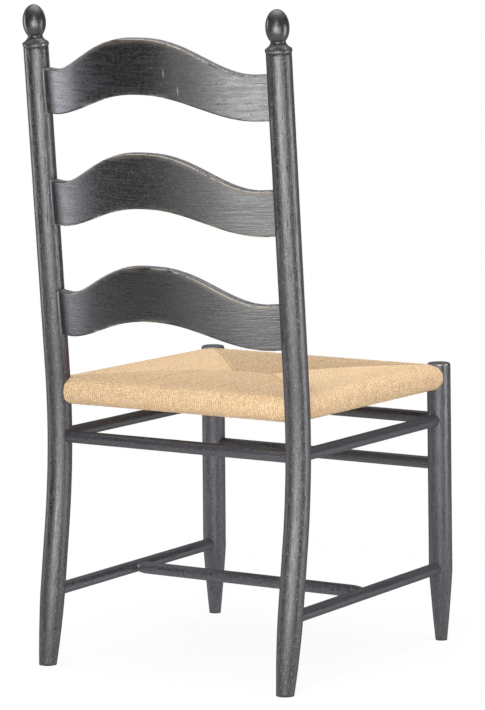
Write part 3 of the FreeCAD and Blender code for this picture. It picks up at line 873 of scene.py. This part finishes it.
def wornPaint(name, look):
    # black, haze and dust by noise; on the slats, a painted sheen and scratches on the top face; then a brown
    # rub and bare wood, each a wear noise times a ramp of the distance to an arris; then pin holes, pores and
    # marks
    m = Nodes(bpy.data.materials.new(name))
    sawn = look["sawn"]
    grain = m.field("grain", "Vector")
    edge = m.field("edge")
    streak = m.noise(grain, paint["streakScale"], detail=5, roughness=0.6)
    mottle = m.noise(grain, look["mottleScale"], detail=3, roughness=0.6)
    fibre = m.noise(grain, look["fibreScale"])
    pore = m.ramp(m.noise(grain, paint["poreScale"]), *look["poreSpan"])
    pore = m.times(pore, m.ramp(m.noise(grain, paint["patchScale"]), *paint["patchSpan"]))
    if not sawn:
        # the polished heads are calmer than the shafts
        polish = m.field("polish")
        calm = m.ramp(polish, *paint["polishCalm"])
        still = paint["calmValue"]
        streak, mottle, fibre = (m.mix(calm, value, still, "FLOAT") for value in (streak, mottle, fibre))
    brushed = m.plus(streak, mottle)
    haze = m.ramp(brushed, *paint["hazeSpan"])
    if not sawn:
        haze = m.mix(polish, haze, paint["polishHaze"], "FLOAT")
    colour = m.mix(haze, look["black"], look["haze"])
    colour = m.mix(m.times(m.ramp(mottle, *paint["dustSpan"]), look["dustShare"]), colour, look["dust"])

    # sanded through along the arrises: a brown rub, then pale wood on the very edge
    wear = m.noise(grain, paint["wearScale"], detail=6, roughness=0.7)
    broken = m.noise(grain, paint["brokenScale"])
    if sawn:
        lift = m.field("lift")
        wear = m.plus(wear, m.ramp(lift, *paint["liftWear"]))
        upper = m.ramp(lift, 1, 2)
        # painted sheen: the top faces of the slats made lighter lilac grey
        colour = m.mix(m.times(upper, paint["paintedTopSheenShare"]), colour, paint["paintedTopSheen"])
        scratched = m.times(upper, m.ramp(broken, *paint["upperScratchSpan"]))
        colour = m.mix(scratched, colour, paint["scratch"])
    rub = m.times(m.ramp(wear, *paint["rubSpan"]), m.ramp(edge, *look["rubEdge"]))
    bare = m.ramp(m.plus(wear, m.times(broken, paint["brokenShare"])), *look["bareSpan"])
    bare = m.times(bare, m.ramp(edge, *look["bareEdge"]))
    colour = m.mix(m.times(rub, paint["rubShare"]), colour, paint["rub"])
    colour = m.mix(bare, colour, paint["bareWood"])

    hole = m.spots(grain, paint["holeScale"], paint["holeSize"], paint["holeShare"])
    dark = m.most(hole, m.times(pore, look["poreShare"]))
    colour = m.mix(dark, colour, paint["hole"])
    if sawn:
        mark = m.spots(grain, paint["markScale"], paint["markSize"], paint["markShare"])
        colour = m.mix(mark, colour, paint["scratch"])
    else:
        # a pale grey line on the posts along where a slat's rear face enters them, broken by the noise
        rim = m.times(m.field("rim"), m.ramp(m.plus(wear, broken), *paint["rimSpan"]))
        colour = m.mix(rim, colour, paint["paleRimLine"])

    # gloss: haze, wear, pores and fibres are matt, and so is the brushed coat seen edge on
    roughness = m.ramp(brushed, *paint["roughSpan"], look["smooth"], look["matt"])
    roughness = m.plus(roughness, m.times(m.plus(rub, dark), paint["wornRough"]))
    if not sawn:
        roughness = m.plus(roughness, m.times(polish, paint["polishRough"]))
    roughness = m.plus(roughness, m.ramp(fibre, *paint["fibreSpan"], 0.0, look["fibreRough"]))
    facing = m.add("ShaderNodeLayerWeight", Blend=0.5).outputs["Facing"]
    roughness = m.plus(roughness, m.ramp(facing, *paint["edgeOnSpan"]))

    surface = m.bump(streak, look["streakDepth"])
    surface = m.bump(mottle, look["mottleDepth"], below=surface)
    surface = m.bump(fibre, look["fibreDepth"], below=surface)
    surface = m.bump(m.times(dark, -1.0), paint["holeDepth"], below=surface)
    m.feed(m.shader.inputs["Base Color"], colour)
    m.feed(m.shader.inputs["Roughness"], roughness)
    m.feed(m.shader.inputs["IOR"], paint["ior"])
    m.feed(m.shader.inputs["Normal"], surface)
    return m.owner


# Rush cord: scales are per metre along the strand, per strand, and across it
straw = {
    "pale": (0.83, 0.615, 0.375),
    "tan": (0.66, 0.45, 0.24),
    "grooveShadow": (0.21, 0.115, 0.05),
    "shadowSpeck": (0.36, 0.20, 0.085),
    "roughness": 0.6,
    "toneScale": (170, 0.93, 0),
    "toneShare": 1.5,
    "fleckScale": (420, 1.9, 1.6),
    "fleckShare": 0.5,
    "toneSpan": (0.82, 1.18),
    "twistLength": 0.0050,
    "twistSlant": 2.6,
    "twistScale": (45, 0.7, 0),
    "twistStray": 9.0,
    "twistDepth": 0.0003,
    "meetSpan": (-1.0, -0.2, 1.0, 0.0),
    "meetShare": 0.5,
    "plainGroove": (0.62, 0.98, 0.0, 0.7),
    "furrowGroove": (0.50, 0.80),
    "speckScale": (300, 1.6, 1.1),
    "speckSpan": (0.56, 0.64),
    "fleckDepth": 0.0002,
    "fleckStrength": 0.6}


def twistedRush(name):
    # tan to pale by noise, with painted shade in the grooves between strands and where two turns of the twist
    # meet: the low side of a sine of the length and the place across, which climbs round the strand; the
    # painted furrow shade is deeper and wider on the front and rear tops
    m = Nodes(bpy.data.materials.new(name))
    strand = m.field("strand", "Vector")
    along, _, lie = m.parts(strand)
    paintedLightTone, shadowSpecks, furrowShade = m.parts(m.field("shade", "Vector"))
    fleck = m.noise(strand, straw["fleckScale"])
    mixed = m.times(m.noise(strand, straw["toneScale"]), straw["toneShare"])
    mixed = m.plus(mixed, m.times(fleck, straw["fleckShare"]))
    colour = m.mix(m.ramp(mixed, *straw["toneSpan"]), straw["tan"], straw["pale"])

    climb = m.plus(m.times(along, 2 * np.pi / straw["twistLength"]), m.times(lie, straw["twistSlant"]))
    stray = m.noise(strand, straw["twistScale"], detail=1)
    turns = m.math("SINE", m.plus(climb, m.times(stray, straw["twistStray"])))
    twistCreaseShade = m.times(m.ramp(turns, *straw["meetSpan"]), straw["meetShare"])
    away = m.math("ABSOLUTE", lie)
    plain, furrow = m.ramp(away, *straw["plainGroove"]), m.ramp(away, *straw["furrowGroove"])
    beside = m.mix(furrowShade, plain, furrow, "FLOAT")
    colour = m.mix(m.most(twistCreaseShade, beside), colour, straw["grooveShadow"])

    # painted shadow as dark specks between the turns, more on the front and rear quadrants; then the painted
    # light tone
    shadowSpeck = m.ramp(m.noise(strand, straw["speckScale"], detail=1), *straw["speckSpan"])
    colour = m.mix(m.times(shadowSpeck, shadowSpecks), colour, straw["shadowSpeck"])
    # painted light: the colour scaled by the tone of the quadrant, the roll and the brink
    paintedLightColour = m.add("ShaderNodeVectorMath", operation="SCALE")
    m.feed(paintedLightColour.inputs[0], colour)
    m.feed(paintedLightColour.inputs["Scale"], paintedLightTone)
    surface = m.bump(turns, straw["twistDepth"])
    surface = m.bump(fleck, straw["fleckDepth"], straw["fleckStrength"], surface)
    m.feed(m.shader.inputs["Base Color"], paintedLightColour.outputs[0])
    m.feed(m.shader.inputs["Roughness"], straw["roughness"])
    m.feed(m.shader.inputs["Normal"], surface)
    return m.owner


# The hidden seat rails, bare and planed
rail = {
    "dark": (0.42, 0.28, 0.16),
    "light": (0.62, 0.46, 0.29),
    "streakScale": (40, 40, 260),
    "roughSpan": (0, 1, 0.5, 0.7),
    "streakDepth": 0.0003,
    "streakStrength": 0.5}


def bareRail(name):
    # streaks between two browns
    m = Nodes(bpy.data.materials.new(name))
    place = m.add("ShaderNodeTexCoord").outputs["Object"]
    streak = m.noise(place, rail["streakScale"], detail=4)
    m.feed(m.shader.inputs["Base Color"], m.mix(streak, rail["dark"], rail["light"]))
    m.feed(m.shader.inputs["Roughness"], m.ramp(streak, *rail["roughSpan"]))
    m.feed(m.shader.inputs["Normal"], m.bump(streak, rail["streakDepth"], rail["streakStrength"]))
    return m.owner


turnedPaint = wornPaint("worn black paint, turned", turnedFinish)
legPaintPaintedLight = wornPaint("worn black paint, legs, painted lighter", legFinishPaintedLight)
barPaintPaintedLight = wornPaint("worn black paint, bars, painted lighter", barFinishPaintedLight)
slatPaint = wornPaint("worn black paint, slats", slatFinish)
middleSlatPaint = wornPaint("worn black paint, middle slat", middleSlatFinish)
rushCord = twistedRush("twisted rush cord")
railWood = bareRail("bare rail wood")


def finish(piece, material):
    piece.data.materials.clear()
    piece.data.materials.append(material)
    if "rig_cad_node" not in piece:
        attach(piece, "root")


def addBar(name, node, ends, seed, sunk, coat, noses=False):
    finish(makeBar(name, node, *ends, seed, sunk, noses), coat)


# The chair's pieces; the lower parts take lighter copies of the posts' paint, as painted light: the left leg,
# the lower left rung and the stretcher the lightest, the right leg and the other rungs a less lightened one
bothSides = ((1, "left"), (-1, "right"))
sideCoat = {"left": legPaintPaintedLight, "right": barPaintPaintedLight}
for side, word in bothSides:
    finish(makeRearPost(side, word, seeds["post"] + side), turnedPaint)
    finish(makeFrontLeg(side, word, seeds["leg"] + side), sideCoat[word])
print("posts and legs made")

level = seatHeight - rung["rearBelowSeat"]
ends = (postPoint(level, 1), postPoint(level, -1))
addBar("round_rung_rear", "rear_rung", ends, seeds["rearRung"], (sunkInPost, sunkInPost), barPaintPaintedLight)
frontLevels = (("upper", seatHeight - rung["frontUpperBelowSeat"]), ("lower", rung["frontLower"]))
for seed, (word, level) in enumerate(frontLevels, seeds["frontRungs"]):
    ends = (legPoint(level, 1), legPoint(level, -1))
    addBar("round_rung_front_" + word, "front_rung_" + word, ends, seed, (sunkInLeg, sunkInLeg), barPaintPaintedLight)
middles = []
for side, word in bothSides:
    rearLevel, frontLevel = (seatHeight - drop for drop in rung["sideUpperBelowSeat"])
    ends = (postPoint(rearLevel, side), legPoint(frontLevel, side))
    addBar("round_rung_upper_" + word, "side_rung_upper_" + word, ends, seeds["upperSideRung"] + side,
           (sunkInPost, sunkInLeg), barPaintPaintedLight)
    rearLevel, frontLevel = rung["sideLower"]
    ends = (postPoint(rearLevel, side), legPoint(frontLevel, side))
    middles.append(ends[0] + (ends[1] - ends[0]) * stretcher["place"])
    addBar("round_rung_lower_" + word, "side_rung_lower_" + word, ends, seeds["lowerSideRung"] + side,
           (sunkInPost, sunkInLeg), sideCoat[word])
addBar("nosed_stretcher", "cross_stretcher", middles, seeds["stretcher"],
       (sunkInRung, sunkInRung), legPaintPaintedLight, noses=True)
print("rungs and stretcher made")

for index, word in enumerate(slatWords):
    coat = middleSlatPaint if word == "middle" else slatPaint
    finish(makeSlat(word, slatHeights[index], seeds["slats"] + index), coat)
print("slats made")

for seed, word in enumerate(quadrants, seeds["rush"]):
    finish(makeQuadrant(word, seed), rushCord)
for word in quadrants:
    finish(frame["nodes"]["seat_rail_" + word], railWood)
print("rush seat made")


# Floor and world: white where the camera looks, plain studio light elsewhere
studio = {
    "facing": 211.6,  # degrees round the chair, where the camera stands
    "centreHeight": 0.6,
    "ambient": (0.62, 0.63, 0.65),
    "white": (1.0, 1.0, 1.0),
    "matt": 0.9,
    "floorColour": (0.9, 0.9, 0.9),
    "floorHalf": 6.0,
    "floorShadow": 0.1,
    "shadowReach": (0.52, 1.3),
    "lampRadius": 2.0,
    "wallColour": (0.05, 0.05, 0.055),
    "wallRadius": 2.5,
    "wallHeight": 2.6,
    "wallSpan": 160,
    "wallPoints": 61}

centre = Vector(((cadLow.x + cadHigh.x) / 2, (cadLow.y + cadHigh.y) / 2, studio["centreHeight"]))


def stagePiece(name, corners, faces):
    # a plain mesh of the set
    mesh = bpy.data.meshes.new(name)
    mesh.from_pydata(corners, [], faces)
    piece = bpy.data.objects.new(name, mesh)
    bpy.context.scene.collection.objects.link(piece)
    return piece


def makeFloor():
    # a white square; the chair's shadow shows near its middle, where less of the white glow is mixed in
    half = studio["floorHalf"]
    corners = [(-half, -half, 0), (half, -half, 0), (half, half, 0), (-half, half, 0)]
    floor = stagePiece("studio_floor", corners, [(0, 1, 2, 3)])
    m = Nodes(bpy.data.materials.new("studio floor"))
    m.feed(m.shader.inputs["Base Color"], studio["floorColour"])
    m.feed(m.shader.inputs["Roughness"], studio["matt"])
    m.feed(m.shader.inputs["Specular IOR Level"], 0.0)
    seen = m.whiteRays()
    distance = m.add("ShaderNodeVectorMath", operation="LENGTH")
    m.feed(distance.inputs[0], m.add("ShaderNodeTexCoord").outputs["Object"])
    plain = m.ramp(distance.outputs["Value"], *studio["shadowReach"], 1 - studio["floorShadow"], 1.0)
    both = m.add("ShaderNodeMixShader")
    m.feed(both.inputs[0], m.times(seen, plain))
    m.feed(both.inputs[1], m.shader.outputs[0])
    m.feed(both.inputs[2], m.add("ShaderNodeEmission").outputs[0])
    m.feed(m.tree.nodes["Material Output"].inputs["Surface"], both.outputs[0])
    floor.data.materials.append(m.owner)


def makeCurtain():
    # a dark curtain on an arc round the set, open behind the chair and never seen by the camera
    count = studio["wallPoints"]
    turn = radians(studio["facing"] + np.linspace(-studio["wallSpan"], studio["wallSpan"], count))
    x = centre.x + studio["wallRadius"] * np.sin(turn)
    y = centre.y - studio["wallRadius"] * np.cos(turn)
    low = np.stack([x, y, np.zeros(count)], 1)
    high = low + np.array([0, 0, studio["wallHeight"]])
    i = np.arange(count - 1)
    faces = np.stack([i, i + 1, i + count + 1, i + count], 1)
    curtain = stagePiece("studio_curtain", np.concatenate([low, high]).tolist(), faces.tolist())
    m = Nodes(bpy.data.materials.new("studio curtain"))
    m.feed(m.shader.inputs["Base Color"], studio["wallColour"])
    m.feed(m.shader.inputs["Roughness"], studio["matt"])
    curtain.data.materials.append(m.owner)
    curtain.visible_camera = False


def makeWorld():
    # white behind everything, and a plain grey-blue light from all round
    m = Nodes(bpy.data.worlds.new("studio"))
    colour = m.mix(m.whiteRays(), studio["ambient"], studio["white"])
    m.feed(m.tree.nodes["Background"].inputs["Color"], colour)
    bpy.context.scene.world = m.owner


# turn is from the camera's side, to its right; low and high are the lamp's edges above the floor
lamps = [
    {"name": "key_left", "turn": -14, "width": 0.95, "low": 0.15, "high": 0.9, "watts": 28},
    {"name": "key_right", "turn": 14, "width": 0.95, "low": 0.06, "high": 0.9, "watts": 16},
    {"name": "key_edge", "turn": -38, "width": 0.7, "low": 0.02, "high": 0.9, "watts": 4.5},
    {"name": "key_high", "turn": -5, "width": 0.5, "low": 1.0, "high": 1.7, "watts": 8},
    {"name": "side_right", "turn": 73, "width": 0.9, "low": 0.02, "high": 1.1, "watts": 22,
     "tint": (0.99, 0.98, 1.03)},
    {"name": "rim_left", "turn": -108, "width": 0.75, "low": 0.2, "high": 1.45, "watts": 17.5,
     "tint": (1.0, 0.97, 1.06)},
    {"name": "overhead", "turn": 0, "width": 2.0, "low": 2.6, "high": 2.6, "watts": 38}]


def makeLamp(name, turn, width, low, high, watts, tint=(1.0, 1.0, 1.0)):
    # upright softboxes stand on a circle round the chair; one with no height hangs flat above it
    data = bpy.data.lights.new(name, "AREA")
    data.shape = "RECTANGLE"
    data.energy = watts
    data.color = tint
    azimuth = radians(studio["facing"] + turn)
    lamp = bpy.data.objects.new(name, data)
    if high > low:
        data.size, data.size_y = width, high - low
        away = Vector((np.sin(azimuth), -np.cos(azimuth), 0.0))
        lamp.location = Vector((centre.x, centre.y, (low + high) / 2)) + away * studio["lampRadius"]
    else:
        data.size = data.size_y = width
        away = Vector((0.0, 0.0, 1.0))
        lamp.location = (centre.x, centre.y, low)
    lamp.rotation_mode = "QUATERNION"
    lamp.rotation_quaternion = away.to_track_quat("Z", "Y")
    lamp.visible_camera = False
    bpy.context.scene.collection.objects.link(lamp)


# Camera: fitted to the chair, placed from the knee of the rear posts
camera = {
    "fromKnee": (-3.18237, 4.96607, 1.26606),
    "turn": 0.5517,
    "pitchDown": 0.1279,
    "focalPixels": 3708.4,
    "centrePixels": (245.9, 363.8),
    "framePixels": (485, 710),
    "sensorWidth": 36.0,
    "clip": (0.1, 100)}


def makeCamera():
    # the lens from the focal length in pixels, the shift from where the view's centre lies in the frame
    data = bpy.data.cameras.new("camera")
    wide, tall = camera["framePixels"]
    longSide = max(wide, tall)
    data.sensor_fit = "AUTO"
    data.sensor_width = camera["sensorWidth"]
    data.lens = camera["sensorWidth"] * camera["focalPixels"] / longSide
    data.shift_x = -(camera["centrePixels"][0] - wide / 2) / longSide
    data.shift_y = (camera["centrePixels"][1] - tall / 2) / longSide
    data.clip_start, data.clip_end = camera["clip"]
    holder = bpy.data.objects.new("camera", data)
    x, y, z = camera["fromKnee"]
    holder.location = (x, y + kneeY, z)
    turn, down = camera["turn"], camera["pitchDown"]
    forward = Vector((np.sin(turn) * np.cos(down), -np.cos(turn) * np.cos(down), -np.sin(down)))
    holder.rotation_mode = "QUATERNION"
    holder.rotation_quaternion = forward.to_track_quat("-Z", "Y")
    bpy.context.scene.collection.objects.link(holder)
    bpy.context.scene.camera = holder


makeFloor()
makeCurtain()
makeWorld()
for lamp in lamps:
    makeLamp(**lamp)
makeCamera()
bpy.context.scene.view_settings.view_transform = "Standard"
print("studio, lamps and camera made")
